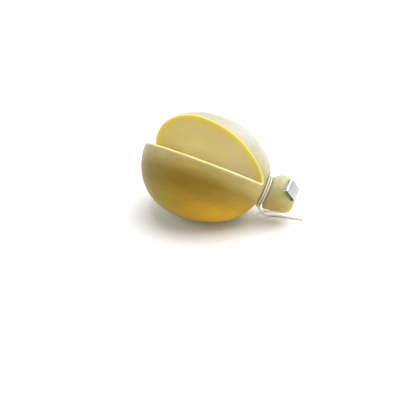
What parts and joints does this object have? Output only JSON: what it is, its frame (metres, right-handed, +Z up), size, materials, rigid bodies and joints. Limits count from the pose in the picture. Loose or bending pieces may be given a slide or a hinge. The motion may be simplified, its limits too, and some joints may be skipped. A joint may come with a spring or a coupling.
{
  "type": "provolone cheese",
  "caption": "Pear-shaped provolone lying on its side with one wedge cut out, tied at the neck with string and sealed at the knob.",
  "frame": {"origin": "on the table under the middle of the cheese's widest section, on the flat that it rests on", "axes": "+X from the blunt end towards the knob, +Y away from the side with the notch, +Z up"},
  "size_m": [0.1472, 0.1, 0.094],
  "materials": {
    "cheese": "smooth waxy cheese, pale yellow paste inside a slightly deeper rind",
    "string": "off-white twisted cotton string",
    "seal": "thin folded sheet, satin",
    "wire": "plain drawn wire"
  },
  "bodies": {
    "root": {"cheese": "cheese", "string_turn_1": "string", "string_turn_2": "string", "string_knot": "string", "string_end_1": "string", "string_end_2": "string", "seal": "seal", "seal_wire": "wire"}
  },
  "joints": []
}
